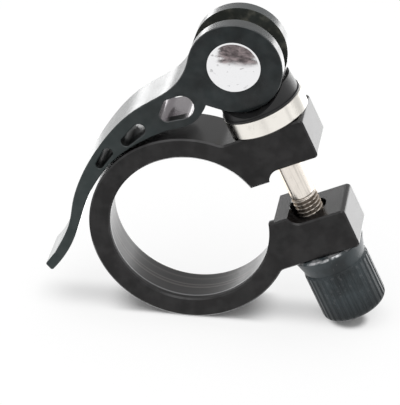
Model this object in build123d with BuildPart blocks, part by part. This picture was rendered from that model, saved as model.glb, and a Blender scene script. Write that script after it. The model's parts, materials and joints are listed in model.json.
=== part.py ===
"""Quick-release seatpost clamp: a split collar closed by a cam lever, a bolt and a thumb nut.

The bore's axis is Y, its lip is on the -Y side, and the origin is the bore's centre. The clamp stands on the
bottom of its ring and on the edge of its nut, so the slot points up and to the +X side by a worked-out angle.
In the slot's plane u runs from the bore's centre through the slot, and v runs along the bolt to the lever.
"""
import os
from math import asin, atan2, cos, degrees, hypot, radians, sin, sqrt

from build123d import *

os.makedirs("parts", exist_ok=True)

# Collar, millimetres
bore_diameter = 31.8
ring_wall = 2.95
collar_width = 10.9
lip_height = 0.93
lip_length = 1.5
jaw_gap = 8.0
lug_gap = 11.65
lug_thickness = 8.0
lug_overhang = 7.4
lug_corner = 0.8
lug_root_fillet = 1.5
slot_relief_inset = 0.75
slot_relief_radius = 2.4
collar_edge = 0.3

# Bolt and its holes
bolt_standoff = 2.5
thread_diameter = 5.0
shank_diameter = 4.7
shank_below_centre = 2.3
bolt_end_chamfer = 0.6
bolt_top_recess = 0.9
barrel_thread_inset = 0.15
lug_hole_clearance = 0.8
stack_hole_clearance = 0.45
thread_clearance = 0.05

# Thumb nut
nut_diameter = 12.6
nut_length = 14.2
nut_top_diameter = 14.0
nut_top_edge = 0.4
nut_neck_diameter = 12.0
nut_neck_length = 3.8
nut_shoulder = 0.5
nut_end_radius = 1.3
spline_count = 30
spline_radius = 0.42
spline_depth = 0.22
bolt_end_recess = 3.5

# Washer and cam saddle
washer_diameter = 15.3
washer_thickness = 3.65
washer_edge = 0.25
saddle_base_inset = 0.1
saddle_base_step = 0.2
saddle_base_height = 0.3
saddle_floor = 0.6
saddle_height = 3.5
saddle_taper = 6.0
# How far the two lie off the bolt's axis, along u and along Y, by their play on the bolt
washer_offset = (0.35, 0.3)
saddle_offset = (0.35, 0.0)

# Cam lever and its pivot barrel
lever_width = 10.0
cam_radius = 8.65
cam_eccentricity = 0.45
cam_clearance = 0.25
barrel_diameter = 9.7
barrel_dome = 0.4
running_clearance = 0.05
fork_clearance = 0.1
fork_past_barrel = 1.3
lever_edge = 0.15
window_edge = 0.15
tip_corner = 0.4

# Where the arm's edges leave the cam's circle, as angles about the cam's centre from u
arm_outer_angle = 146.0
arm_crotch_angle = 231.0
# The straight run from there to the crotch under the arm
arm_crotch_run = 3.1
# The arm's two edges, as (angle about the bore from the cam's centre, height above the ring). Heights here
# and in the windows, and the windows' radii, are shares of the cam's radius.
arm_outer_points = [
    (20.5, 1.167), (34.3, 0.842), (44.9, 0.679), (60.4, 0.486), (81.0, 0.388), (95.1, 0.395), (109.0, 0.501),
    (120.0, 0.896), (124.2, 1.212),
]
arm_inner_points = [
    (127.5, 1.141), (124.6, 0.858), (115.8, 0.427), (102.0, 0.182), (88.0, 0.089), (74.0, 0.041),
    (60.7, 0.040), (48.7, 0.055), (35.4, 0.110), (23.9, 0.197), (13.2, 0.324), (8.9, 0.565),
]
# Each window is the hull of round corners, as (angle about the bore, height above the ring, radius)
arm_windows = [
    [(16.9, 0.724, 0.260), (23.9, 0.552, 0.152), (22.2, 0.777, 0.127)],
    [(38.9, 0.346, 0.139), (48.0, 0.224, 0.110)],
    [(59.9, 0.250, 0.110), (68.2, 0.195, 0.087)],
]

# Places worked out from those
bore_radius = bore_diameter / 2
ring_outer = bore_radius + ring_wall
bolt_u = ring_outer + bolt_standoff
thread_radius = thread_diameter / 2
shank_radius = shank_diameter / 2
lug_end = bolt_u + lug_overhang
lug_inner = lug_gap / 2
lug_outer = lug_inner + lug_thickness
slot_relief_u = ring_outer - slot_relief_inset
washer_top = lug_outer + washer_thickness
saddle_base_diameter = washer_diameter - 2 * saddle_base_inset
saddle_diameter = saddle_base_diameter - 2 * saddle_base_step
saddle_top = washer_top + saddle_height
barrel_radius = barrel_diameter / 2
cam_v = washer_top + saddle_floor + cam_clearance + cam_radius
barrel_v = cam_v + cam_eccentricity
cam_angle = degrees(atan2(cam_v, bolt_u))
nut_radius = nut_diameter / 2
nut_top = -lug_outer
nut_bottom = nut_top - nut_length

# The slot's angle puts the ring's bottom and the nut's rounded edge on one level
nut_edge_u = bolt_u - nut_radius + nut_end_radius
nut_edge_v = nut_bottom + nut_end_radius
nut_edge_reach = hypot(nut_edge_u, nut_edge_v)
slot_angle = degrees(asin((nut_end_radius - ring_outer) / nut_edge_reach) - atan2(nut_edge_v, nut_edge_u))

slot_direction = Vector(cos(radians(slot_angle)), 0, sin(radians(slot_angle)))
bolt_direction = Vector(-sin(radians(slot_angle)), 0, cos(radians(slot_angle)))
bolt_foot = slot_direction * bolt_u
slot_plane = Plane(origin=(0, 0, 0), x_dir=slot_direction, z_dir=(0, -1, 0))
bolt_plane = Plane(origin=bolt_foot, x_dir=slot_direction, z_dir=(0, -1, 0))
bolt_axis = Axis(bolt_foot, bolt_direction)
from_left = (Align.MIN, Align.CENTER)


def across_bolt(v):
    """The plane square to the bolt at v, with its normal towards the lever and its own y along Y."""
    return Plane(origin=bolt_foot + bolt_direction * v, x_dir=slot_direction, z_dir=bolt_direction)


def above_ring(angle, height):
    """The (u, v) place at an angle about the bore from the cam's centre, and a height above the ring."""
    reach = ring_outer + height * cam_radius
    turn = radians(cam_angle + angle)
    return (reach * cos(turn), reach * sin(turn))


def beside_cam(point):
    """The (u, v) place of a point that is given from the cam's centre."""
    return (bolt_u + point[0], cam_v + point[1])


def on_cam(angle):
    """The (u, v) place on the cam's circle at an angle from u."""
    return beside_cam((cam_radius * cos(radians(angle)), cam_radius * sin(radians(angle))))


def window_corners(corners):
    """The circles whose hull is one window of the arm."""
    return [
        Edge.make_circle(radius * cam_radius, Plane(origin=(*above_ring(angle, height), 0)))
        for angle, height, radius in corners
    ]


# Collar: one extruded profile, bored from behind up to the lip, and drilled for the bolt
with BuildPart() as collar:
    with BuildSketch(slot_plane) as collar_profile:
        Circle(ring_outer)
        with Locations((lug_end / 2, 0)):
            Rectangle(lug_end, 2 * lug_outer)
        fillet(collar_profile.vertices().sort_by(Axis.X)[:2], lug_root_fillet)
        with Locations((slot_relief_u, 0)):
            RectangleRounded(2 * lug_end, lug_gap, slot_relief_radius, align=from_left, mode=Mode.SUBTRACT)
        fillet(collar_profile.vertices().group_by(Axis.X)[-1], lug_corner)
        Rectangle(slot_relief_u + slot_relief_radius, jaw_gap, align=from_left, mode=Mode.SUBTRACT)
        Circle(bore_radius - lip_height, mode=Mode.SUBTRACT)
    extrude(amount=collar_width / 2, both=True)
    with BuildSketch(Plane(origin=(0, lip_length - collar_width / 2, 0), x_dir=(1, 0, 0), z_dir=(0, 1, 0))):
        Circle(bore_radius)
    extrude(amount=collar_width - lip_length, mode=Mode.SUBTRACT)
    collar_faces = collar.faces().sort_by(Axis.Y)
    chamfer(collar_faces[0].edges() + collar_faces[-1].edges(), collar_edge)
    with BuildSketch(across_bolt(-lug_outer)):
        Circle(thread_radius + lug_hole_clearance)
    extrude(amount=2 * lug_outer, mode=Mode.SUBTRACT)
collar.part.label = "collar"
export_step(collar.part, "parts/collar.step")

# Cam lever: one extruded profile with windows, forked around the bolt and bored for the barrel
with BuildPart() as cam_lever:
    with BuildSketch(slot_plane) as lever_profile:
        with BuildLine():
            cam_sweep = 360 + arm_outer_angle - arm_crotch_angle
            CenterArc(beside_cam((0, 0)), cam_radius, arm_crotch_angle, cam_sweep)
            leave_direction = (-sin(radians(arm_outer_angle)), cos(radians(arm_outer_angle)))
            outer_points = [above_ring(*point) for point in arm_outer_points]
            tip_direction = Vector(*outer_points[-1]) - Vector(*outer_points[-2])
            outer_tangents = (leave_direction, tip_direction)
            outer_edge = Spline(on_cam(arm_outer_angle), *outer_points, tangents=outer_tangents)
            inner_points = [above_ring(*point) for point in arm_inner_points]
            crotch_start = Vector(*on_cam(arm_crotch_angle))
            crotch_direction = Vector(sin(radians(arm_crotch_angle)), -cos(radians(arm_crotch_angle)))
            crotch = crotch_start + crotch_direction * arm_crotch_run
            inner_edge = Spline(*inner_points, crotch)
            Line(outer_edge @ 1, inner_edge @ 0)
            Line(crotch, crotch_start)
        make_face()
        fillet(lever_profile.vertices().sort_by_distance(outer_edge @ 1)[:2], tip_corner)
        for corners in arm_windows:
            make_hull(window_corners(corners), mode=Mode.SUBTRACT)
    extrude(amount=lever_width / 2, both=True)
    lever_faces = cam_lever.faces().sort_by(Axis.Y)
    lever_sides = [lever_faces[0], lever_faces[-1]]
    chamfer([edge for side in lever_sides for edge in side.outer_wire().edges()], lever_edge)
    lever_faces = cam_lever.faces().sort_by(Axis.Y)
    lever_sides = [lever_faces[0], lever_faces[-1]]
    window_wires = [wire for side in lever_sides for wire in side.inner_wires()]
    chamfer([edge for wire in window_wires for edge in wire.edges()], window_edge)
    with BuildSketch(slot_plane):
        with Locations((bolt_u - barrel_radius - fork_past_barrel, cam_v)):
            Rectangle(3 * cam_radius, 3 * cam_radius, align=from_left)
    extrude(amount=shank_radius + fork_clearance, both=True, mode=Mode.SUBTRACT)
    with BuildSketch(slot_plane):
        with Locations((bolt_u, barrel_v)):
            Circle(barrel_radius + running_clearance)
    extrude(amount=lever_width / 2, both=True, mode=Mode.SUBTRACT)
cam_lever.part.label = "cam_lever"
export_step(cam_lever.part, "parts/cam_lever.step")

# Pivot barrel: a turned pin with low domes on its ends, cross-drilled for the bolt
with BuildPart() as pivot_barrel:
    dome_radius = (barrel_radius**2 + barrel_dome**2) / (2 * barrel_dome)
    dome_foot = lever_width / 2
    dome_top = dome_foot + barrel_dome
    half_radius = barrel_radius / 2
    dome_middle = dome_top - dome_radius + sqrt(dome_radius**2 - half_radius**2)
    with BuildSketch(across_bolt(barrel_v)):
        with BuildLine():
            near_dome_points = [(0, -dome_top), (half_radius, -dome_middle), (barrel_radius, -dome_foot)]
            near_dome = ThreePointArc(*near_dome_points)
            far_dome_points = [(barrel_radius, dome_foot), (half_radius, dome_middle), (0, dome_top)]
            far_dome = ThreePointArc(*far_dome_points)
            Line(near_dome @ 1, far_dome @ 0)
            Line(far_dome @ 1, near_dome @ 0)
        make_face()
    revolve(axis=Axis(bolt_foot + bolt_direction * barrel_v, (0, 1, 0)))
    with BuildSketch(across_bolt(barrel_v)):
        Circle(thread_radius + thread_clearance)
    extrude(amount=barrel_diameter, both=True, mode=Mode.SUBTRACT)
pivot_barrel.part.label = "pivot_barrel"
export_step(pivot_barrel.part, "parts/pivot_barrel.step")

# Skewer bolt: a plain shank between two threaded ends, one in the barrel and one in the nut
with BuildPart() as skewer_bolt:
    bolt_bottom = nut_bottom + bolt_end_recess
    bolt_top = barrel_v + barrel_radius - bolt_top_recess
    shank_top = barrel_v - sqrt(barrel_radius**2 - thread_radius**2) + barrel_thread_inset
    thread_runout = thread_radius - shank_radius
    with BuildSketch(bolt_plane):
        with BuildLine():
            Polyline(
                (0, bolt_bottom),
                (thread_radius - bolt_end_chamfer, bolt_bottom),
                (thread_radius, bolt_bottom + bolt_end_chamfer),
                (thread_radius, -shank_below_centre - thread_runout),
                (shank_radius, -shank_below_centre),
                (shank_radius, shank_top),
                (thread_radius, shank_top + thread_runout),
                (thread_radius, bolt_top - bolt_end_chamfer),
                (thread_radius - bolt_end_chamfer, bolt_top),
                (0, bolt_top),
                close=True,
            )
        make_face()
    revolve(axis=bolt_axis)
skewer_bolt.part.label = "skewer_bolt"
export_step(skewer_bolt.part, "parts/skewer_bolt.step")

# Cam saddle: a round block on a thin base, hollowed across its top to the cam's curve
with BuildPart() as cam_saddle:
    with BuildSketch(across_bolt(washer_top)):
        with Locations(saddle_offset):
            Circle(saddle_diameter / 2)
    extrude(amount=saddle_height, taper=saddle_taper)
    with BuildSketch(across_bolt(washer_top)):
        with Locations(saddle_offset):
            Circle(saddle_base_diameter / 2)
    extrude(amount=saddle_base_height)
    with BuildSketch(slot_plane):
        with Locations(beside_cam((0, 0))):
            Circle(cam_radius + cam_clearance)
    extrude(amount=saddle_base_diameter, both=True, mode=Mode.SUBTRACT)
    with BuildSketch(across_bolt(washer_top)):
        with Locations(saddle_offset):
            Circle(thread_radius + stack_hole_clearance)
    extrude(amount=saddle_height, mode=Mode.SUBTRACT)
cam_saddle.part.label = "cam_saddle"
export_step(cam_saddle.part, "parts/cam_saddle.step")

# Washer: a thick turned ring under the saddle
with BuildPart() as washer:
    with BuildSketch(across_bolt(lug_outer)):
        with Locations(washer_offset):
            Circle(washer_diameter / 2)
    extrude(amount=washer_thickness)
    chamfer(washer.edges(), washer_edge)
    with BuildSketch(across_bolt(lug_outer)):
        with Locations(washer_offset):
            Circle(thread_radius + stack_hole_clearance)
    extrude(amount=washer_thickness, mode=Mode.SUBTRACT)
washer.part.label = "washer"
export_step(washer.part, "parts/washer.step")

# Adjusting nut: a flared seat, a smooth neck and a straight-splined grip with a rounded end
with BuildPart() as adjusting_nut:
    nut_bore = thread_radius + thread_clearance
    neck_bottom = nut_top - nut_neck_length
    with BuildSketch(bolt_plane) as nut_profile:
        with BuildLine():
            Polyline(
                (nut_bore, nut_top),
                (nut_top_diameter / 2 - nut_top_edge, nut_top),
                (nut_top_diameter / 2, nut_top - nut_top_edge),
                (nut_neck_diameter / 2, neck_bottom),
                (nut_radius, neck_bottom - nut_shoulder),
                (nut_radius, nut_bottom),
                (nut_bore, nut_bottom),
                close=True,
            )
        make_face()
        fillet(nut_profile.vertices().group_by(Axis.Y)[0].sort_by(Axis.X)[-1], nut_end_radius)
    revolve(axis=bolt_axis)
    with BuildSketch(across_bolt(nut_bottom)):
        with PolarLocations(nut_radius + spline_radius - spline_depth, spline_count):
            Circle(spline_radius)
    extrude(amount=nut_length - nut_neck_length, mode=Mode.SUBTRACT)
adjusting_nut.part.label = "adjusting_nut"
export_step(adjusting_nut.part, "parts/adjusting_nut.step")
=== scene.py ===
"""Quick-release seatpost clamp: finishes, threads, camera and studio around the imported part.

Lengths are in metres in the part's own frame: the bore's axis is Y, its lip faces -Y, and Z is up.
Along the bolt, u points away from the bore, y is the bore's axis and v points from the nut to the lever.
"""

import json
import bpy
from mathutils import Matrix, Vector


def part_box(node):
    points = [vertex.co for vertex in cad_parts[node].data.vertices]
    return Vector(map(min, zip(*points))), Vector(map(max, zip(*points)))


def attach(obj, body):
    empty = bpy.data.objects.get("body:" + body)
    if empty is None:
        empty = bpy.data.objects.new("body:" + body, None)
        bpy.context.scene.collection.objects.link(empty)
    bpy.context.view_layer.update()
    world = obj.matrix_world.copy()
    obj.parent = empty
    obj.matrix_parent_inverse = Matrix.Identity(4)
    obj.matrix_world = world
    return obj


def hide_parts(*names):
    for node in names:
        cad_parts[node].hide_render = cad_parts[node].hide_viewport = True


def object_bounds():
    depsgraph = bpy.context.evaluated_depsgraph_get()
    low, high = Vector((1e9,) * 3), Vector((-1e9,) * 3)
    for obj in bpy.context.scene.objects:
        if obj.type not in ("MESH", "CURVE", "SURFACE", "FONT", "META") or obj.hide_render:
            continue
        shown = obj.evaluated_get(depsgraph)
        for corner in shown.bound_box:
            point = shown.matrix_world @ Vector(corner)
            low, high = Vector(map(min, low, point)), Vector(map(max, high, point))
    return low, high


bl_info = {
    "name": "Seatpost clamp dressing",
    "version": (1, 0, 0),
    "blender": (4, 5, 0),
    "location": "3D View > Sidebar > Clamp",
    "description": "Finishes, threads, camera and studio for a quick-release seatpost clamp",
    "category": "Object",
}

from math import cos, pi, radians, sin

import bpy
import numpy as np
from bpy.props import FloatProperty, FloatVectorProperty, PointerProperty
from mathutils import Vector

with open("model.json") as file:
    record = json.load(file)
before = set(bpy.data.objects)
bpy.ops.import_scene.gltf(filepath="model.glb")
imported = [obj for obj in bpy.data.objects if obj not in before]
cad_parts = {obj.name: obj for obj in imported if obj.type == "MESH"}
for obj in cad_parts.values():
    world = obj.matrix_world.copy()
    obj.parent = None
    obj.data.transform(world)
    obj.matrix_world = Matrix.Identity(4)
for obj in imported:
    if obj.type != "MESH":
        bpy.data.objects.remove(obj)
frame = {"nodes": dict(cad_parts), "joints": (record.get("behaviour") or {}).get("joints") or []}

CAD_BOX = [list(corner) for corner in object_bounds()]
MM = 0.001
JOINTS = {joint["name"]: joint for joint in frame["joints"]}
BOLT_FOOT = np.array(JOINTS["nut_turn"]["pos_m"], float)
BOLT_V = np.array(JOINTS["skewer_slide"]["axis"], float)
BARREL_CENTRE = np.array(JOINTS["lever_hinge"]["pos_m"], float)
BORE_Y = np.array((0.0, 1.0, 0.0))
UP = np.array((0.0, 0.0, 1.0))
SLOT_U = np.cross(BORE_Y, BOLT_V)
IMAGE_SIZE = (400, 405)
WHITE = (1.0, 1.0, 1.0, 1.0)

# The middle lines of the lever's large window and its two smaller ones, as pairs of (x, z)
LARGE_WINDOW = ((-1.33 * MM, 25.07 * MM), (-3.9 * MM, 24.3 * MM))
SMALL_WINDOWS = (
    ((-9.24 * MM, 19.79 * MM), (-11.66 * MM, 17.21 * MM)),
    ((-15.12 * MM, 14.59 * MM), (-16.68 * MM, 11.98 * MM)),
)
# The distances from those lines between which a window's wall ends
LARGE_WALL = (2.6 * MM, 2.9 * MM)
SMALL_WALL = (1.45 * MM, 1.7 * MM)
# The distances from the bore's axis between which the bore's wall ends
BORE_WALL = (15.95 * MM, 16.02 * MM)
# The distances from the lever's middle between which the fork's two milled faces end
FORK_WALL = (2.5 * MM, 2.7 * MM)
# The radii between which the nut's splines reach their tops, and how far below its seat they end
SPLINE_TOPS = (6.2 * MM, 6.29 * MM)
SPLINE_END_LOW = 4.0 * MM
SPLINE_END_HIGH = 3.7 * MM

# How squarely a bevel faces a direction, with its soft shoulders, and where a face stops being a side
BEVEL_FACING = (0.5, 0.88, 0.06)
SIDE_FACING = (0.2, 0.4)
# The refraction of the dyed layer and the roughness of the clear seal over it
DYED_IOR = 1.34
SEAL_ROUGHNESS = 0.25
# The height that the satin's fine bumps stand for, and how strongly they bend the normal
SATIN_DEPTH = 0.012 * MM
SATIN_STRENGTH = 0.6
# The octaves of finer noise in streaks along the bolt and in turned lines
STREAK_DETAIL = 3.0
LINE_DETAIL = 2.0
# Edges that bend more than this stay sharp
SHARP_ANGLE = radians(40.0)


def node_points(name):
    """A CAD node's vertices at rest, as an array of n rows of x, y, z."""
    mesh = frame["nodes"][name].data
    flat = np.empty(len(mesh.vertices) * 3, np.float32)
    mesh.vertices.foreach_get("co", flat)
    return flat.reshape(-1, 3).astype(float)


def along_bolt(name):
    """The lowest and highest height of a CAD node along the bolt, from the bolt's foot."""
    heights = (node_points(name) - BOLT_FOOT) @ BOLT_V
    return float(heights.min()), float(heights.max())


BOLT_LOW, BOLT_HIGH = along_bolt("skewer_bolt")
NUT_LOW, NUT_HIGH = along_bolt("adjusting_nut")
FLOOR_LEVEL = CAD_BOX[0][2]

# The middles of the lamps and their widths and depths. The last two lie just over the floor and face up.
KEY_PLACE = (-0.05, -0.12, 0.62)
KEY_EXTENT = (0.7, 0.6)
HORIZON_PLACE = (0.0, 0.4, 0.0135)
HORIZON_AIM = (0.0, 0.0, 0.0135)
HORIZON_EXTENT = (0.9, 0.065)
LOW_LAMP_LEVEL = FLOOR_LEVEL + 0.5 * MM
SWEEP_PLACE = (0.2, 0.206, LOW_LAMP_LEVEL)
SWEEP_EXTENT = (0.46, 0.388)
TIP_PLACE = (-0.119, 0.045, LOW_LAMP_LEVEL)
TIP_EXTENT = (0.162, 0.06)
# The ends of the floor and of the dark card along X and Y
FLOOR_ENDS = (-4.0, 4.0)
CARD_X_ENDS = (-0.5, 0.4)
CARD_Y_ENDS = (-0.7, -0.1)
CARD_LEVEL = FLOOR_LEVEL + 1.0 * MM
SENSOR_WIDTH = 36.0
NEAREST_SEEN = 0.01


def size(name, description, default):
    """A length property in metres."""
    return FloatProperty(
        name=name, description=description, default=default, min=0.0, unit="LENGTH", precision=5
    )


def share(name, description, default):
    """A property from 0 to 1."""
    return FloatProperty(
        name=name, description=description, default=default, min=0.0, max=1.0, subtype="FACTOR"
    )


def colour(name, description, default):
    """A linear colour property."""
    return FloatVectorProperty(
        name=name, description=description, default=default, size=3, min=0.0, max=1.0, subtype="COLOR"
    )


def power(name, description, default):
    """A lamp's power in watts."""
    return FloatProperty(name=name, description=description, default=default, min=0.0, unit="POWER")


class ClampFinishes(bpy.types.PropertyGroup):
    """Colours and roughness of the clamp's finishes, and the length of the collar's rubbed lip."""

    collar_colour: colour("Collar", "Black anodising of the collar", (0.0054, 0.0046, 0.0048))
    collar_roughness: share("Collar roughness", "Satin of the collar's faces", 0.24)
    bore_roughness: share("Bore roughness", "Satin of the turned bore", 0.32)
    turned_colour: colour("Turned bore", "Brownish dye on the bore's turned ridges", (0.17, 0.15, 0.142))
    lip_length: size("Lip length", "How far the lip reaches into the bore, to its rubbed edge", 1.5 * MM)
    lever_colour: colour("Lever", "Black anodising of the lever", (0.0102, 0.0142, 0.015))
    faded_colour: colour("Faded dye", "Black anodising of the lever towards its tip", (0.021, 0.030, 0.030))
    milled_colour: colour("Milled fork", "Thin brownish dye on the fork's milled faces", (0.11, 0.11, 0.09))
    # The large window's violet wall colour is a painted sheen
    window_sheen_colour: colour("Window wall", "Thin violet dye in the large window", (0.14, 0.124, 0.134))
    lever_roughness: share("Lever roughness", "Satin of the lever's faces", 0.22)
    nut_colour: colour("Nut", "Grey-black anodising of the thumb nut", (0.0275, 0.035, 0.0385))
    nut_roughness: share("Nut roughness", "Satin of the nut", 0.4)
    worn_colour: colour("Worn edges", "Anodising that is rubbed thin on the edges", (0.16, 0.16, 0.165))
    # Partly rubbed bare metal, partly a painted highlight where the nut's seat catches light
    bare_and_highlight_colour: colour("Bare metal", "Aluminium where the nut's seat has rubbed", (0.72, 0.72, 0.73))
    saddle_colour: colour("Saddle", "Moulded plastic of the cam's bed", (0.008, 0.008, 0.0085))
    saddle_roughness: share("Saddle roughness", "Semi-gloss of the moulded bed", 0.38)
    barrel_colour: colour("Barrel", "Chromium plating of the pivot barrel", (0.86, 0.86, 0.87))
    barrel_roughness: share("Barrel roughness", "Polish of the barrel", 0.045)
    washer_colour: colour("Washer", "Nickel plating of the washer", (0.88, 0.848, 0.79))
    washer_roughness: share("Washer roughness", "Polish of the washer", 0.24)
    bolt_colour: colour("Bolt", "Nickel plating of the bolt", (0.83, 0.775, 0.71))
    bolt_roughness: share("Bolt roughness", "Polish of the bolt", 0.22)
    groove_colour: colour("Thread groove", "Oil and shade in the bottom of the thread", (0.1, 0.07, 0.045))


class ClampThreads(bpy.types.PropertyGroup):
    """Sizes of the bolt's and the nut's threads."""

    pitch: size("Pitch", "Rise of the thread in one turn", 0.8 * MM)
    crest_radius: size("Crest radius", "Outer radius of the bolt's thread", 2.5 * MM)
    root_radius: size("Root radius", "Radius in the bottom of the bolt's thread", 2.04 * MM)
    shank_radius: size("Shank radius", "Radius of the bolt's plain shank", 2.35 * MM)
    shank_below: size("Shank below", "How far the plain shank reaches below the bolt's foot", 2.3 * MM)
    barrel_thread: size("Barrel thread", "Length of the thread in the barrel", 7.95 * MM)
    end_chamfer: size("End chamfer", "Bevel on the bolt's two ends", 0.6 * MM)
    nut_wall: size("Nut wall", "Radius of the nut's drilled hole", 2.55 * MM)
    nut_crest: size("Nut crest", "Radius of the crest of the nut's thread", 2.1 * MM)


class ClampStudio(bpy.types.PropertyGroup):
    """Camera and light."""

    azimuth: FloatProperty(
        name="Azimuth",
        description="Camera's turn about Z from looking along +Y",
        default=radians(8.844),
        subtype="ANGLE",
    )
    elevation: FloatProperty(
        name="Elevation",
        description="Camera's height above the horizon",
        default=radians(29.436),
        subtype="ANGLE",
    )
    distance: size("Distance", "From the aim to the camera", 0.45)
    aim_right: size("Aim right", "The aim's place right of the bore's centre in the picture", 1.239 * MM)
    aim_up: size("Aim up", "The aim's place above the bore's centre in the picture", 2.396 * MM)
    focal_pixels: FloatProperty(
        name="Focal length", description="Focal length in pixels of the picture", default=2405.1, min=1.0
    )
    floor_colour: colour("Floor", "Pale sweep under the clamp", (0.95, 0.95, 0.95))
    floor_glow: share("Floor glow", "How far the floor is lifted to white in the picture", 0.75)
    ambient: share("Ambient", "Even light from all round", 0.72)
    key_power: power("Key", "Power of the soft light above", 2.3)
    horizon_power: power("Horizon", "Power of the low bright band behind", 0.7)
    sweep_power: power("Sweep", "Power of the bright sweep on the floor behind", 1.1)
    tip_power: power("Tip", "Power of the bright patch behind the lever's tip", 0.03)


class Wire:
    """One output socket. Arithmetic on wires and numbers adds Math nodes to its tree."""

    def __init__(self, nodes, socket):
        self.nodes = nodes
        self.socket = socket

    def maths(self, operation, first, second):
        return self.nodes.node("ShaderNodeMath", {"operation": operation}, {0: first, 1: second})

    def __add__(self, other):
        return self.maths("ADD", self, other)

    __radd__ = __add__

    def __sub__(self, other):
        return self.maths("SUBTRACT", self, other)

    def __rsub__(self, other):
        return self.maths("SUBTRACT", other, self)

    def __mul__(self, other):
        return self.maths("MULTIPLY", self, other)

    __rmul__ = __mul__

    def __truediv__(self, other):
        return self.maths("DIVIDE", self, other)

    def __rtruediv__(self, other):
        return self.maths("DIVIDE", other, self)

    def __abs__(self):
        return self.maths("ABSOLUTE", self, 0.0)

    def least(self, other):
        return self.maths("MINIMUM", self, other)

    def most(self, other):
        return self.maths("MAXIMUM", self, other)

    def rise(self, low, high):
        """0 below low, 1 above high and a smooth step between them."""
        ends = {"Value": self, "From Min": low, "From Max": high}
        return self.nodes.node("ShaderNodeMapRange", {"interpolation_type": "SMOOTHSTEP"}, ends)

    def band(self, low, high, soft):
        """1 between low and high, with soft shoulders."""
        return self.rise(low - soft, low + soft) * (1 - self.rise(high - soft, high + soft))


class Nodes:
    """A node tree being made, with the part's own coordinates."""

    def __init__(self, tree):
        self.tree = tree

    def node(self, kind, settings, inputs, output=0):
        """Adds a node: first its settings, then its inputs' values or links."""
        made = self.tree.nodes.new(kind)
        for name, value in settings.items():
            setattr(made, name, value)
        self.feed(made, inputs)
        return Wire(self, made.outputs[output])

    def feed(self, node, inputs):
        """Links wires to a node's sockets, and sets the others to plain values."""
        for key, value in inputs.items():
            socket = node.inputs[key]
            if isinstance(value, Wire):
                self.tree.links.new(value.socket, socket)
            else:
                socket.default_value = value

    def vectors(self, operation, inputs, output=0):
        """Vector arithmetic, whose output is a vector, or a number where output is "Value"."""
        return self.node("ShaderNodeVectorMath", {"operation": operation}, inputs, output)

    def here(self):
        """The place on the object, in metres."""
        return self.node("ShaderNodeTexCoord", {}, {}, "Object")

    def axis(self, name):
        """One coordinate of the place on the object."""
        return self.node("ShaderNodeSeparateXYZ", {}, {0: self.here()}, name)

    def along(self, origin, direction):
        """The distance from origin along direction."""
        offset = -float(np.dot(origin, direction))
        return self.vectors("DOT_PRODUCT", {0: self.here(), 1: direction}, "Value") + offset

    def facing(self, direction):
        """How squarely the surface faces a direction or its opposite, from 0 to 1."""
        normal = self.node("ShaderNodeTexCoord", {}, {}, "Normal")
        return abs(self.vectors("DOT_PRODUCT", {0: normal, 1: direction}, "Value"))

    def sides(self):
        """1 on what runs along the bore, and 0 on the faces that look along it."""
        return 1 - self.facing(BORE_Y).rise(*SIDE_FACING)

    def from_axis(self, origin, direction):
        """The distance from the line through origin along direction."""
        offset = self.vectors("SUBTRACT", {0: self.here(), 1: origin})
        cross = self.vectors("CROSS_PRODUCT", {0: offset, 1: direction})
        return self.vectors("LENGTH", {0: cross}, "Value")

    def from_segment(self, start, end):
        """The distance, seen along the bore, from the straight line between two (x, z) places."""
        start, end = (np.array((x, 0.0, z)) for x, z in (start, end))
        run = end - start
        flat = self.vectors("MULTIPLY", {0: self.here(), 1: (1.0, 0.0, 1.0)})
        offset = self.vectors("SUBTRACT", {0: flat, 1: start})
        part = self.vectors("DOT_PRODUCT", {0: offset, 1: run / np.dot(run, run)}, "Value")
        part = part.most(0.0).least(1.0)
        along = self.vectors("SCALE", {0: run, "Scale": part})
        away = self.vectors("SUBTRACT", {0: offset, 1: along})
        return self.vectors("LENGTH", {0: away}, "Value")

    def noise(self, grain, stretch=(1.0, 1.0, 1.0), detail=3.0):
        """Cloudy noise from 0 to 1 with features about grain metres wide, stretched by 1 / stretch."""
        place = self.node("ShaderNodeMapping", {}, {"Vector": self.here(), "Scale": stretch})
        return self.node("ShaderNodeTexNoise", {}, {"Vector": place, "Scale": 1.0 / grain, "Detail": detail})

    def drawn_along_bolt(self, grain, stretch):
        """Noise from 0 to 1 in streaks along the bolt, grain metres wide and stretch times as long."""
        places = {
            0: self.along(BOLT_FOOT, SLOT_U),
            1: self.axis("Y"),
            2: self.along(BOLT_FOOT, BOLT_V) / stretch,
        }
        place = self.node("ShaderNodeCombineXYZ", {}, places)
        inputs = {"Vector": place, "Scale": 1.0 / grain, "Detail": STREAK_DETAIL}
        return self.node("ShaderNodeTexNoise", {}, inputs)

    def lines(self, place, spacing):
        """Uneven fine lines from 0 to 1 across a distance, about spacing metres apart."""
        inputs = {"W": place / spacing, "Scale": 1.0, "Detail": LINE_DETAIL}
        return self.node("ShaderNodeTexNoise", {"noise_dimensions": "1D"}, inputs)

    def mixed(self, factor, first, second):
        """A colour between two, each a wire or three numbers."""
        first, second = (c if isinstance(c, Wire) else (*c, 1.0) for c in (first, second))
        return self.node("ShaderNodeMix", {"data_type": "RGBA"}, {0: factor, 6: first, 7: second}, 2)

    def bump(self, height, depth, strength):
        """A bent normal from a height between 0 and 1 that stands for depth metres."""
        return self.node("ShaderNodeBump", {}, {"Height": height, "Distance": depth, "Strength": strength})

    def shown(self, factor, shaded, white):
        """The two shaders mixed, on the tree's output."""
        mix = self.node("ShaderNodeMixShader", {}, {0: factor, 1: shaded, 2: white})
        output = next(node for node in self.tree.nodes if node.bl_idname.startswith("ShaderNodeOutput"))
        self.feed(output, {"Surface": mix})


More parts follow.
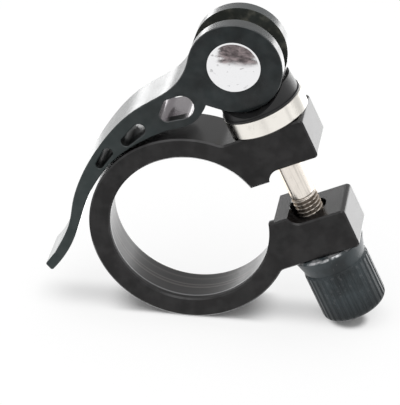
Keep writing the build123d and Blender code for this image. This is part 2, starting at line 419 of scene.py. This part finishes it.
class Finish(Nodes):
    """A material being made, around one Principled shader."""

    def __init__(self, name):
        self.material = bpy.data.materials.new(name)
        self.material.use_nodes = True
        super().__init__(self.material.node_tree)
        self.shader = self.tree.nodes["Principled BSDF"]

    def surface(self, **inputs):
        """Sets the shader's inputs, with spaces in their names written as underscores."""
        self.feed(self.shader, {name.replace("_", " "): value for name, value in inputs.items()})
        return self.material


def scaled(rgb, factor):
    """A colour made lighter or darker."""
    return tuple(min(1.0, c * factor) for c in rgb)


def put_on(node, material):
    """Gives a CAD node one material."""
    data = frame["nodes"][node].data
    data.materials.clear()
    data.materials.append(material)


def edge_wear(finish):
    """Rubbed spots along the narrow bevels between the bore-facing sides and the rest, from 0 to 1."""
    patch_grain = 1.6 * MM
    least_wear = 0.45
    bevel = finish.facing(BORE_Y).band(*BEVEL_FACING)
    patches = finish.noise(patch_grain, detail=4.0).rise(0.32, 0.62)
    return bevel * (least_wear + (1.0 - least_wear) * patches)


def anodised(finish, rgb, worn_rgb, wear):
    """Dyed colour that clouds a little over the part and thins on worn edges."""
    cloud_grain = 5.0 * MM
    darkest = 0.5
    lightest = 1.5
    wear_strength = 0.55
    clouds = finish.noise(cloud_grain, detail=5.0).rise(0.3, 0.7)
    dye = finish.mixed(clouds, scaled(rgb, darkest), scaled(rgb, lightest))
    return finish.mixed(wear * wear_strength, dye, worn_rgb)


def collar_finish(look):
    """Satin black anodising over an extruded, faced and turned collar, rubbed at the end of its lip."""
    fine_grain = 0.16 * MM
    drawn_grain = 0.3 * MM
    turning_step = 0.75 * MM
    satin_grain = 2.5 * MM
    seal_grain = 2.2 * MM
    worn_width = 0.35 * MM
    along_bore = (1.0, 0.03, 1.0)
    finish = Finish("collar_black_anodised")
    wear = edge_wear(finish)
    y = finish.axis("Y")
    side = finish.sides()
    bore = (1 - finish.from_axis((0.0, 0.0, 0.0), BORE_Y).rise(*BORE_WALL)) * side
    rings = finish.lines(y, turning_step)
    grain = finish.noise(fine_grain)
    drawn = finish.noise(drawn_grain, along_bore)
    height = (grain * 0.5 + drawn * side * 0.7) * (1 - bore) + rings * bore * 1.5
    satin = look.collar_roughness + 0.1 * (finish.noise(satin_grain, detail=5.0) - 0.5)
    turned = look.bore_roughness + 0.08 * (rings - 0.5)
    seal = finish.noise(seal_grain, detail=6.0).rise(0.35, 0.65)
    lip_end = float(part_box("collar")[0][1]) + look.lip_length
    lip = (1 - y.rise(lip_end - 0.45 * MM, lip_end - 0.3 * MM)) * bore
    lip_edge = y.band(lip_end - worn_width, lip_end + 0.05 * MM, 0.1 * MM) * bore
    dyed = anodised(finish, look.collar_colour, look.worn_colour, wear * 0.15)
    dyed = finish.mixed(rings.rise(0.5, 0.66) * (bore - lip) * 0.33, dyed, look.turned_colour)
    return finish.surface(
        Base_Color=finish.mixed(lip_edge * 0.9, dyed, look.worn_colour),
        Roughness=satin * (1 - bore) + turned * bore + 0.35 * lip,
        IOR=DYED_IOR,
        Coat_Weight=seal * (1 - side) + 0.25 * side * (1 - bore),
        Coat_IOR=1.2,
        Coat_Roughness=SEAL_ROUGHNESS,
        Normal=finish.bump(height, SATIN_DEPTH, SATIN_STRENGTH),
    )


def window_shade_and_sheen(finish, side):
    """Where the lever's windows get painted shade, deep black, and where the large one gets a painted sheen,
    a light violet, partly metallic wall, from 0 to 1.

    The painted shade is black at the front of the small windows and less so behind, and black in the middle
    of the large window's length along its front edge. The rest of the large window's wall has the painted
    sheen.
    """
    small_shade_fade = (-3.0 * MM, -1.4 * MM)
    shade_patch_end = (-3.4 * MM, -2.6 * MM)
    shade_patch_sides = (-4.0 * MM, -0.6 * MM, 0.5 * MM)
    y = finish.axis("Y")
    first, second = (finish.from_segment(*window) for window in SMALL_WINDOWS)
    small = (1 - first.least(second).rise(*SMALL_WALL)) * side
    small = small * (1 - 0.75 * y.rise(*small_shade_fade))
    large = (1 - finish.from_segment(*LARGE_WINDOW).rise(*LARGE_WALL)) * side
    patch = (1 - y.rise(*shade_patch_end)) * finish.axis("X").band(*shade_patch_sides)
    return small.most(large * patch), large * (1 - patch)


def lever_finish(look):
    """Satin black anodising over an extruded lever, with a milled fork and faded dye towards its tip."""
    fine_grain = 0.16 * MM
    drawn_grain = 0.35 * MM
    milled_grain = 0.3 * MM
    smear_grain = 2.0 * MM
    satin_grain = 2.5 * MM
    seal_grain = 1.8 * MM
    fade_ends = (-22.0 * MM, 2.0 * MM)
    along_bore = (1.0, 0.03, 1.0)
    along_fork = (1.0, 1.0, 0.12)
    finish = Finish("lever_black_anodised")
    wear = edge_wear(finish)
    side = finish.sides()
    fork = (1 - abs(finish.axis("Y")).rise(*FORK_WALL)) * finish.facing(BORE_Y).rise(0.8, 0.95)
    grain = finish.noise(fine_grain)
    drawn = finish.noise(drawn_grain, along_bore)
    milled = finish.noise(milled_grain, along_fork)
    smears = finish.noise(smear_grain, detail=6.0).rise(0.45, 0.75)
    # black is painted shade in the windows' walls, thin is a painted sheen on the large window's wall
    black, thin = window_shade_and_sheen(finish, side)
    height = grain * 0.5 + drawn * side * 0.7 + milled * fork * 1.5
    satin = look.lever_roughness + 0.1 * (finish.noise(satin_grain) - 0.5)
    seal = finish.noise(seal_grain, detail=6.0).rise(0.35, 0.65)
    faded = 1 - finish.axis("X").rise(*fade_ends)
    dyed = anodised(finish, look.lever_colour, look.worn_colour, wear * 0.55)
    dyed = finish.mixed(faded, dyed, look.faded_colour)
    # Painted shade: the lever's colour at a fifth, deep black, on the shaded window walls
    dyed = finish.mixed(black, dyed, scaled(look.lever_colour, 0.2))
    # Painted sheen: the large window's wall turns light violet, and partly metallic below
    dyed = finish.mixed(thin, dyed, look.window_sheen_colour)
    return finish.surface(
        Base_Color=finish.mixed(fork * (0.2 + 0.8 * smears), dyed, look.milled_colour),
        Metallic=thin * 0.85,
        Roughness=satin + 0.1 * fork + 0.4 * black,
        IOR=DYED_IOR,
        Coat_Weight=0.49 * seal * (1 - side) + 0.55 * side * (1 - black),
        Coat_IOR=1.3,
        Coat_Roughness=SEAL_ROUGHNESS,
        Normal=finish.bump(height, SATIN_DEPTH, SATIN_STRENGTH),
    )


def nut_finish(look):
    """Grey-black anodising over a turned and splined nut, rubbed on the splines' tops, rubbed bare at its
    seat with a painted highlight there, and darkened towards its lower end by painted shade.
    """
    wear_grain = 0.9 * MM
    speck_grain = 0.5 * MM
    bare_grain = 1.6 * MM
    fine_grain = 0.15 * MM
    satin_grain = 1.8 * MM
    turning_step = 0.28 * MM
    painted_shade_length = 7.0 * MM
    seat_low = NUT_HIGH - 0.42 * MM
    seat_high = NUT_HIGH - 0.2 * MM
    finish = Finish("nut_black_anodised")
    up_nut = finish.along(BOLT_FOOT, BOLT_V)
    splined = 1 - up_nut.rise(NUT_HIGH - SPLINE_END_LOW, NUT_HIGH - SPLINE_END_HIGH)
    tops = finish.from_axis(BOLT_FOOT, BOLT_V).rise(*SPLINE_TOPS) * splined
    wear = tops * finish.noise(wear_grain, detail=4.0).rise(0.5, 0.72)
    specks = finish.noise(speck_grain, detail=2.0).rise(0.7, 0.76)
    # Rubbed bare metal at the seat, which also stands as a painted highlight
    bare_and_highlight = up_nut.rise(seat_low, seat_high) * finish.noise(bare_grain, detail=4.0).rise(0.42, 0.62) * 0.6
    dyed = anodised(finish, look.nut_colour, look.worn_colour, wear * 0.5 + specks)
    # Painted shade: the nut's colour falls to half towards its lower end, by the floor
    low = 1 - up_nut.rise(NUT_LOW, NUT_LOW + painted_shade_length)
    dyed = finish.mixed(low, dyed, scaled(look.nut_colour, 0.5))
    rings = finish.lines(up_nut, turning_step)
    grain = finish.noise(fine_grain)
    return finish.surface(
        Base_Color=finish.mixed(bare_and_highlight, dyed, look.bare_and_highlight_colour),
        Metallic=bare_and_highlight,
        Roughness=look.nut_roughness + 0.12 * (finish.noise(satin_grain) - 0.5),
        IOR=DYED_IOR,
        Normal=finish.bump(grain * 0.6 + rings * 0.8, SATIN_DEPTH, SATIN_STRENGTH),
    )


def saddle_finish(look):
    """Moulded black plastic with a fine sparked grain."""
    cloud_grain = 3.0 * MM
    spark_grain = 0.22 * MM
    spark_depth = 0.014 * MM
    finish = Finish("saddle_black_plastic")
    clouds = finish.noise(cloud_grain, detail=4.0)
    return finish.surface(
        Base_Color=finish.mixed(clouds, scaled(look.saddle_colour, 0.8), scaled(look.saddle_colour, 1.3)),
        Roughness=look.saddle_roughness + 0.12 * (clouds - 0.5),
        IOR=1.42,
        Normal=finish.bump(finish.noise(spark_grain), spark_depth, 0.5),
    )


def barrel_finish(look):
    """Polished chromium with faint turning rings on its ends, smudges and a few fine pits."""
    turning_step = 0.35 * MM
    plain_middle = (0.6 * MM, 1.6 * MM)
    cloud_grain = 1.5 * MM
    smudge_grain = 1.1 * MM
    polish_depth = 0.01 * MM
    finish = Finish("barrel_chrome")
    from_centre = finish.from_axis(BARREL_CENTRE, BORE_Y)
    rings = finish.lines(from_centre, turning_step) * from_centre.rise(*plain_middle)
    clouds = finish.noise(cloud_grain, detail=4.0)
    smudges = finish.noise(smudge_grain, (1.0, 1.0, 1.6), 5.0).rise(0.6, 0.74)
    return finish.surface(
        Base_Color=finish.mixed(smudges * 0.7, look.barrel_colour, scaled(look.barrel_colour, 0.4)),
        Metallic=1.0,
        Roughness=look.barrel_roughness + 0.05 * clouds + 0.2 * smudges,
        Normal=finish.bump(rings * 0.4 + clouds * 1.2, polish_depth, 0.35),
    )


def washer_finish(look):
    """Bright nickel over a turned washer with stains, darkened on its bevels by painted shade, in one band
    by a painted reflection and towards its outer end by painted shade.
    """
    rim_step = 0.25 * MM
    face_step = 0.3 * MM
    stain_grain = 2.2 * MM
    unevenness = 0.25 * MM
    front_end = (1.5 * MM, 3.5 * MM)
    reflection_sides = (5.45 * MM, 5.85 * MM, 0.3 * MM)
    shaded_end = (6.2 * MM, 7.4 * MM)
    turned_depth = 0.01 * MM
    finish = Finish("washer_nickel")
    rim = finish.lines(finish.along(BOLT_FOOT, BOLT_V), rim_step)
    faces = finish.lines(finish.from_axis(BOLT_FOOT, BOLT_V), face_step)
    flat = finish.facing(BOLT_V).rise(0.6, 0.9)
    stains = finish.noise(stain_grain, detail=5.0).rise(0.55, 0.8)
    bevel = finish.facing(BOLT_V).band(*BEVEL_FACING)
    across = finish.along(BOLT_FOOT, SLOT_U) + unevenness * (rim - 0.5)
    front = 1 - finish.axis("Y").rise(*front_end)
    # Painted reflection: a dark band across the washer
    painted_reflection_and_shade = across.band(*reflection_sides) * 0.32
    # Painted shade towards the washer's outer end, both only on its front
    painted_reflection_and_shade = painted_reflection_and_shade.most(across.rise(*shaded_end) * 0.7) * front
    rings = rim * (1 - flat) + faces * flat
    # Stains are real; the bevels get painted shade
    darkened = (stains * 0.25 + painted_reflection_and_shade).most(bevel * 0.7)
    return finish.surface(
        Base_Color=finish.mixed(darkened, look.washer_colour, scaled(look.washer_colour, 0.45)),
        Metallic=1.0,
        Roughness=look.washer_roughness + 0.1 * stains + 0.06 * (rings - 0.5),
        Normal=finish.bump(rings, turned_depth, 0.4),
    )


def bolt_finish(look):
    """Warm nickel with drawn lines along the shank, and oil and painted shade in the thread, darkest in its
    bottom.
    """
    stain_grain = 1.2 * MM
    drawn_grain = 0.5 * MM
    drawn_stretch = 40.0
    drawn_depth = 0.006 * MM
    edge_tint = (0.45, 0.4, 0.34, 1.0)
    finish = Finish("bolt_nickel")
    groove = finish.node("ShaderNodeAttribute", {"attribute_name": "groove"}, {}, "Fac")
    # Oil and painted shade: darker and browner the deeper a point lies in the thread
    oil_and_shade = groove.rise(-0.1, 0.75)
    stains = finish.noise(stain_grain, detail=5.0)
    drawn = finish.drawn_along_bolt(drawn_grain, drawn_stretch)
    darkened = stains.rise(0.5, 0.8) * 0.4 + drawn.rise(0.5, 0.66) * 0.6
    metal = finish.mixed(darkened, look.bolt_colour, scaled(look.bolt_colour, 0.68))
    return finish.surface(
        Base_Color=finish.mixed(oil_and_shade * (0.65 + 0.35 * stains), metal, look.groove_colour),
        Metallic=1.0,
        Specular_Tint=edge_tint,
        Roughness=look.bolt_roughness + 0.2 * oil_and_shade + 0.08 * (stains - 0.5),
        Normal=finish.bump(drawn * (1 - oil_and_shade), drawn_depth, 0.4),
    )


def tube_mesh(name, rings):
    """A closed mesh from rings of points, an array of rows by points by xyz.

    Each ring is joined to the next by four-sided faces that close on themselves, and the first and the last
    ring are filled. The faces are turned round if the enclosed volume comes out negative.
    """
    rows, around, _ = rings.shape
    index = np.arange(rows * around).reshape(rows, around)
    right = np.roll(index, -1, axis=1)
    quads = np.stack([index[:-1], right[:-1], right[1:], index[1:]], axis=-1).reshape(-1, 4)
    points = rings.reshape(-1, 3)
    a, b, c, d = (points[quads[:, k]] - points.mean(axis=0) for k in range(4))
    volume = np.einsum("ij,ij->", a, np.cross(b, c)) + np.einsum("ij,ij->", a, np.cross(c, d))
    ends = [index[0, ::-1], index[-1]]
    if volume < 0:
        quads = quads[:, ::-1]
        ends = [end[::-1] for end in ends]
    mesh = bpy.data.meshes.new(name)
    mesh.from_pydata(points, [], [*quads.tolist(), *(end.tolist() for end in ends)])
    mesh.polygons.foreach_set("use_smooth", np.ones(len(mesh.polygons), bool))
    mesh.set_sharp_from_angle(angle=SHARP_ANGLE)
    mesh.update()
    return mesh


def level_grid(name, x_ends, y_ends, level, cells):
    """A level grid: x and y run evenly between their two ends, and z is the level."""
    x, y = np.meshgrid(np.linspace(*x_ends, cells + 1), np.linspace(*y_ends, cells + 1))
    points = np.stack([x, y, np.full_like(x, level)], axis=-1).reshape(-1, 3)
    index = np.arange(points.shape[0]).reshape(cells + 1, cells + 1)
    corners = [index[:-1, :-1], index[:-1, 1:], index[1:, 1:], index[1:, :-1]]
    mesh = bpy.data.meshes.new(name)
    mesh.from_pydata(points, [], np.stack(corners, axis=-1).reshape(-1, 4).tolist())
    return mesh


def around_bolt(radius, height, turn):
    """Points at a radius from the bolt's axis, a height along it and an angle about it from u, as arrays."""
    outward = np.cos(turn)[..., None] * SLOT_U + np.sin(turn)[..., None] * BORE_Y
    return BOLT_FOOT + radius[..., None] * outward + height[..., None] * BOLT_V


def smooth_step(value, low, high):
    """0 below low, 1 above high and the cubic 3t^2 - 2t^3 between them."""
    t = np.clip((value - low) / (high - low), 0.0, 1.0)
    return t * t * (3.0 - 2.0 * t)


def tooth(phase, crest_flat, root_flat):
    """A thread's section over one pitch, from 0 in the root to 1 on the crest, with straight flanks."""
    flank = (1.0 - crest_flat - root_flat) / 2.0
    return np.clip((0.5 - root_flat / 2.0 - np.abs(phase - 0.5)) / flank, 0.0, 1.0)


def bolt_rings(sizes):
    """The bolt's surface and how deep each point lies in the thread, from 0 to 1.

    Over the height s and the turn t, the phase is s / pitch - t / 2 pi, less its whole part. The radius
    goes from the root to the crest as the tooth of that phase. On the shank it fades to the plain radius
    over a pitch, and a bevel cuts both ends.
    """
    steps_per_pitch = 14
    shank_rows = 30
    around = 72
    least_groove = 0.3
    pitch = sizes.pitch
    shank_low = -sizes.shank_below
    shank_high = BOLT_HIGH - sizes.barrel_thread
    step = pitch / steps_per_pitch
    lower = np.arange(BOLT_LOW, shank_low, step)
    middle = np.linspace(shank_low, shank_high, shank_rows)
    upper = np.linspace(shank_high, BOLT_HIGH, int((BOLT_HIGH - shank_high) / step) + 1)[1:]
    height = np.concatenate([lower, middle, upper])[:, None]
    turn = np.linspace(0.0, 2.0 * pi, around, endpoint=False)[None, :]
    phase = np.mod(height / pitch - turn / (2.0 * pi), 1.0)
    depth = sizes.crest_radius - sizes.root_radius
    threaded = sizes.root_radius + depth * tooth(phase, crest_flat=0.125, root_flat=0.16)
    above_low = smooth_step(height, shank_low - pitch, shank_low)
    below_high = smooth_step(-height, -shank_high - pitch, -shank_high)
    fade = 1.0 - above_low * below_high
    radius = sizes.shank_radius + fade * (threaded - sizes.shank_radius)
    bevel = sizes.crest_radius - sizes.end_chamfer + np.minimum(height - BOLT_LOW, BOLT_HIGH - height)
    sunk = np.clip((sizes.crest_radius - radius) / depth, 0.0, 1.0)
    groove = fade * (least_groove + (1.0 - least_groove) * sunk)
    radius = np.minimum(radius, bevel)
    height, turn = np.broadcast_arrays(height, turn)
    return around_bolt(radius, height, turn), groove


def nut_thread_rings(sizes, top):
    """The nut's thread below the bolt's end: one ridge carried along a helix.

    At each turn t the height is the start plus pitch times t / 2 pi. The ridge's section has two points on
    the hole's wall and two on its crest, and its crest sinks to the wall at both ends.
    """
    steps_per_turn = 48
    least_swell = 0.02
    start = NUT_LOW + 1.2 * sizes.pitch
    half_base = 0.42 * sizes.pitch
    half_crest = 0.09 * sizes.pitch
    wall = sizes.nut_wall + 0.01 * MM
    turns = (top - start) / sizes.pitch
    turn = np.linspace(0.0, 2.0 * pi * turns, int(turns * steps_per_turn))[:, None]
    swell = smooth_step(turn, 0.0, pi) * smooth_step(-turn, -turn.max(), pi - turn.max())
    crest = wall - (wall - sizes.nut_crest) * np.maximum(swell, least_swell)
    ones = np.ones_like(turn)
    radius = np.concatenate([wall * ones, crest, crest, wall * ones], axis=1)
    rise = np.array([[-half_base, -half_crest, half_crest, half_base]])
    height = start + sizes.pitch * turn / (2.0 * pi) + rise
    return around_bolt(radius, height, np.broadcast_to(turn, radius.shape))


def barrel_end_rings(side):
    """One polished end of the barrel, turned about the bore's direction through the barrel's centre.

    From the rim inwards the height over the lever's side first climbs a bevel, then follows the barrel's
    own low dome, a sphere through its rim and its top, lifted by the same small step all over.
    """
    lift = 0.05 * MM
    bevel = 0.12 * MM
    sunk = 0.3 * MM
    inmost = 0.02 * MM
    dome_rows = 24
    around = 96
    points = node_points("pivot_barrel") - BARREL_CENTRE
    rim = float(np.hypot(points[:, 0], points[:, 2]).max())
    top = float(np.abs(points[:, 1]).max())
    foot = float(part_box("cam_lever")[1][1])
    ball = (rim**2 + (top - foot) ** 2) / (2.0 * (top - foot))
    dome_radius = np.linspace(rim - bevel, inmost, dome_rows)
    dome_height = top + lift - ball + np.sqrt(ball**2 - dome_radius**2)
    radius = np.concatenate([[rim, rim], dome_radius])[:, None]
    height = np.concatenate([[foot - sunk, foot], dome_height])[:, None] * side
    turn = np.linspace(0.0, 2.0 * pi, around, endpoint=False)[None, :]
    x = radius * np.cos(turn)
    z = radius * np.sin(turn)
    return BARREL_CENTRE + np.stack([x, np.broadcast_to(height, x.shape), z], axis=-1)


def new_piece(name, mesh, material):
    """An object at the origin that shows a mesh."""
    mesh.materials.append(material)
    piece = bpy.data.objects.new(name, mesh)
    bpy.context.scene.collection.objects.link(piece)
    return piece


class CLAMP_OT_finish_collar(bpy.types.Operator):
    """Give the split collar its black anodising"""

    bl_idname = "clamp.finish_collar"
    bl_label = "Finish collar"

    def execute(self, context):
        put_on("collar", collar_finish(context.scene.clamp_finishes))
        return {"FINISHED"}


class CLAMP_OT_finish_lever(bpy.types.Operator):
    """Give the cam lever its black anodising"""

    bl_idname = "clamp.finish_lever"
    bl_label = "Finish lever"

    def execute(self, context):
        put_on("cam_lever", lever_finish(context.scene.clamp_finishes))
        return {"FINISHED"}


class CLAMP_OT_finish_nut(bpy.types.Operator):
    """Give the thumb nut its finish, and cut the thread that shows in its lower end"""

    bl_idname = "clamp.finish_nut"
    bl_label = "Finish nut"

    def execute(self, context):
        material = nut_finish(context.scene.clamp_finishes)
        put_on("adjusting_nut", material)
        sizes = context.scene.clamp_threads
        thread_top = BOLT_LOW - 0.6 * sizes.pitch
        mesh = tube_mesh("nut_thread", nut_thread_rings(sizes, thread_top))
        piece = new_piece("nut_thread", mesh, material)
        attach(piece, "nut")
        return {"FINISHED"}


class CLAMP_OT_finish_stack(bpy.types.Operator):
    """Give the barrel, the washer and the cam's bed their finishes, and add the barrel's polished ends"""

    bl_idname = "clamp.finish_stack"
    bl_label = "Finish barrel, washer and saddle"

    def execute(self, context):
        look = context.scene.clamp_finishes
        chrome = barrel_finish(look)
        put_on("pivot_barrel", chrome)
        for name, side in (("barrel_end_front", -1.0), ("barrel_end_back", 1.0)):
            piece = new_piece(name, tube_mesh(name, barrel_end_rings(side)), chrome)
            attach(piece, "skewer")
        put_on("washer", washer_finish(look))
        put_on("cam_saddle", saddle_finish(look))
        return {"FINISHED"}


class CLAMP_OT_make_bolt(bpy.types.Operator):
    """Make the bolt with its two cut threads in place of the plain one"""

    bl_idname = "clamp.make_bolt"
    bl_label = "Make threaded bolt"

    def execute(self, context):
        rings, groove = bolt_rings(context.scene.clamp_threads)
        mesh = tube_mesh("threaded_bolt", rings)
        depth = mesh.attributes.new("groove", "FLOAT", "POINT")
        depth.data.foreach_set("value", groove.astype(np.float32).ravel())
        piece = new_piece("threaded_bolt", mesh, bolt_finish(context.scene.clamp_finishes))
        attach(piece, "skewer")
        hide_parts("skewer_bolt")
        put_on("skewer_bolt", piece.data.materials[0])
        return {"FINISHED"}


def seen_share(nodes, in_picture):
    """1 for what gloss or glass sees, in_picture for what the camera sees, and 0 for light that spreads."""
    path = "ShaderNodeLightPath"
    camera = nodes.node(path, {}, {}, "Is Camera Ray")
    gloss = nodes.node(path, {}, {}, "Is Glossy Ray")
    glass = nodes.node(path, {}, {}, "Is Transmission Ray")
    return camera * in_picture + gloss * (1 - camera) + glass * (1 - camera) * (1 - gloss)


def floor_finish(studio):
    """Pale sweep: plain diffuse paint, lifted towards white where it is seen, but less so by the clamp,
    which paints a deeper shadow there.
    """
    paper_grain = 0.05
    shade_depth = 0.36
    shade_middle = -0.5 * MM
    shade_width = (0.5 * MM, 6.5 * MM)
    shade_ends = (-32.0 * MM, 32.0 * MM, 4.0 * MM)
    ring_length = (9.5 * MM, 17.0 * MM)
    ring_width = (4.4 * MM, 6.2 * MM)
    nut_reach = (2.2 * MM, 4.2 * MM)
    nut_inset = np.array((4.0 * MM, -2.0 * MM, 0.0))
    finish = Finish("floor_pale")
    paper = finish.noise(paper_grain, detail=2.0)
    tone = tuple(studio.floor_colour)
    finish.surface(
        Base_Color=finish.mixed(paper, scaled(tone, 0.99), scaled(tone, 1.01)),
        Roughness=0.95,
        Specular_IOR_Level=0.0,
    )
    paint = Wire(finish, finish.shader.outputs[0])
    white = finish.node("ShaderNodeEmission", {}, {"Color": WHITE, "Strength": 1.0})
    x = finish.axis("X")
    y = finish.axis("Y")
    nut = node_points("adjusting_nut")
    nut_foot = nut[nut[:, 2].argmin()] + nut_inset
    # Painted shadow: beneath the clamp, the ring and the nut the floor is lifted less towards white
    beneath = (1 - abs(y - shade_middle).rise(*shade_width)) * x.band(*shade_ends)
    under_ring = (1 - abs(x).rise(*ring_length)) * (1 - abs(y).rise(*ring_width))
    under_nut = 1 - finish.from_axis(nut_foot, UP).rise(*nut_reach)
    glow = (studio.floor_glow - shade_depth * beneath) * (1 - under_ring.most(under_nut))
    finish.shown(seen_share(finish, glow), paint, white)
    return finish.material


def white_world(studio):
    """A world that is white where it is seen and a softer even light elsewhere."""
    world = bpy.data.worlds.new("studio_white")
    world.use_nodes = True
    nodes = Nodes(world.node_tree)
    nodes.tree.nodes.remove(nodes.tree.nodes["Background"])
    soft = nodes.node("ShaderNodeBackground", {}, {"Color": WHITE, "Strength": studio.ambient})
    white = nodes.node("ShaderNodeBackground", {}, {"Color": WHITE, "Strength": 1.0})
    nodes.shown(seen_share(nodes, 1.0), soft, white)
    bpy.context.scene.world = world


def soft_light(name, place, aim, extent, watts):
    """A rectangular area light of a width and a depth that looks at aim."""
    data = bpy.data.lights.new(name, "AREA")
    data.shape = "RECTANGLE"
    data.size, data.size_y = extent
    data.energy = watts
    lamp = bpy.data.objects.new(name, data)
    lamp.location = place
    lamp.rotation_mode = "QUATERNION"
    lamp.rotation_quaternion = (Vector(aim) - Vector(place)).to_track_quat("-Z", "Y")
    lamp.visible_camera = False
    bpy.context.scene.collection.objects.link(lamp)
    return lamp


def gloss_light(name, place, aim, extent, watts):
    """A soft light that only glossy surfaces show: the bright parts of the sweep behind the clamp.

    The barrel's back end is left out of it, because its polish would clip to white there.
    """
    lamp = soft_light(name, place, aim, extent, watts)
    lamp.visible_diffuse = False
    left_out = bpy.data.collections.new(f"{name}_left_out")
    left_out.objects.link(bpy.data.objects["barrel_end_back"])
    lamp.light_linking.receiver_collection = left_out
    left_out.collection_objects[0].light_linking.link_state = "EXCLUDE"


def dark_card():
    """A dark card with ragged edges on the floor in front, seen only in what mirrors that floor.

    It is there for the barrel's polished front end. Its near edge lies across Y. Its two sides lie about a
    middle line that leans in X, and they close in on that line towards the clamp.
    """
    near_edge_ends = (-0.12, -0.09)
    side_edge_ends = (0.02, 0.035)
    middle_x = 0.012
    lean = 0.1
    closing = 0.23
    raggedness = 0.05
    near_grain = 0.03
    side_grain = 0.02
    mottle_grain = 0.013
    dark = (0.05, 0.043, 0.044)
    light = (0.36, 0.3, 0.3)
    finish = Finish("card_dark")
    y = finish.axis("Y")
    near_edge = y + raggedness * finish.noise(near_grain)
    from_middle = abs(finish.axis("X") - middle_x - lean * y)
    side_edge = from_middle + closing * y + raggedness * finish.noise(side_grain)
    cover = (1 - near_edge.rise(*near_edge_ends)) * (1 - side_edge.rise(*side_edge_ends))
    mottle = finish.noise(mottle_grain, detail=6.0).rise(0.4, 0.62)
    material = finish.surface(
        Base_Color=finish.mixed(mottle, dark, light),
        Roughness=1.0,
        Specular_IOR_Level=0.0,
        Alpha=cover,
    )
    card = new_piece("card", level_grid("card", CARD_X_ENDS, CARD_Y_ENDS, CARD_LEVEL, cells=4), material)
    card.visible_camera = False
    card.visible_diffuse = False
    card.visible_shadow = False
    return card


def add_camera(studio):
    """A camera that looks at the aim from the photograph's side, and is the scene's own."""
    back = Vector((
        sin(studio.azimuth) * cos(studio.elevation),
        -cos(studio.azimuth) * cos(studio.elevation),
        sin(studio.elevation),
    ))
    right = Vector((cos(studio.azimuth), sin(studio.azimuth), 0.0))
    data = bpy.data.cameras.new("camera")
    data.sensor_width = SENSOR_WIDTH
    data.lens = studio.focal_pixels * data.sensor_width / max(IMAGE_SIZE)
    data.clip_start = NEAREST_SEEN
    camera = bpy.data.objects.new("camera", data)
    camera.location = right * studio.aim_right + back.cross(right) * studio.aim_up + back * studio.distance
    camera.rotation_euler = (pi / 2.0 - studio.elevation, 0.0, studio.azimuth)
    bpy.context.scene.collection.objects.link(camera)
    bpy.context.scene.camera = camera


class CLAMP_OT_set_stage(bpy.types.Operator):
    """Set the floor, the light and the camera"""

    bl_idname = "clamp.set_stage"
    bl_label = "Set stage"

    def execute(self, context):
        studio = context.scene.clamp_studio
        sheet = level_grid("floor", FLOOR_ENDS, FLOOR_ENDS, FLOOR_LEVEL, cells=8)
        new_piece("floor", sheet, floor_finish(studio))
        white_world(studio)
        above_sweep = Vector(SWEEP_PLACE) + Vector(UP)
        above_tip = Vector(TIP_PLACE) + Vector(UP)
        soft_light("key_light", KEY_PLACE, (0.0, 0.0, 0.0), KEY_EXTENT, studio.key_power)
        gloss_light("horizon_light", HORIZON_PLACE, HORIZON_AIM, HORIZON_EXTENT, studio.horizon_power)
        gloss_light("sweep_light", SWEEP_PLACE, above_sweep, SWEEP_EXTENT, studio.sweep_power)
        gloss_light("tip_light", TIP_PLACE, above_tip, TIP_EXTENT, studio.tip_power)
        dark_card()
        add_camera(studio)
        context.scene.view_settings.view_transform = "Standard"
        return {"FINISHED"}


class CLAMP_PT_dressing(bpy.types.Panel):
    """The clamp's finishes, threads and stage"""

    bl_idname = "CLAMP_PT_dressing"
    bl_label = "Seatpost clamp"
    bl_space_type = "VIEW_3D"
    bl_region_type = "UI"
    bl_category = "Clamp"

    def draw(self, context):
        for operator in OPERATORS:
            self.layout.operator(operator.bl_idname)
        for group in (getattr(context.scene, name) for name in GROUPS):
            box = self.layout.box()
            for name in group.__annotations__:
                box.prop(group, name)


GROUPS = {"clamp_finishes": ClampFinishes, "clamp_threads": ClampThreads, "clamp_studio": ClampStudio}
OPERATORS = (
    CLAMP_OT_finish_collar,
    CLAMP_OT_finish_lever,
    CLAMP_OT_finish_nut,
    CLAMP_OT_finish_stack,
    CLAMP_OT_make_bolt,
    CLAMP_OT_set_stage,
)


def register():
    for group in GROUPS.values():
        bpy.utils.register_class(group)
    for name, group in GROUPS.items():
        setattr(bpy.types.Scene, name, PointerProperty(type=group))
    for operator in OPERATORS:
        bpy.utils.register_class(operator)
    bpy.utils.register_class(CLAMP_PT_dressing)


def unregister():
    bpy.utils.unregister_class(CLAMP_PT_dressing)
    for operator in reversed(OPERATORS):
        bpy.utils.unregister_class(operator)
    for name, group in GROUPS.items():
        delattr(bpy.types.Scene, name)
        bpy.utils.unregister_class(group)


def main():
    """Dress the clamp and set the stage."""
    register()
    bpy.ops.clamp.finish_collar()
    bpy.ops.clamp.finish_lever()
    bpy.ops.clamp.finish_nut()
    bpy.ops.clamp.finish_stack()
    bpy.ops.clamp.make_bolt()
    bpy.ops.clamp.set_stage()


if __name__ == "__main__":
    main()
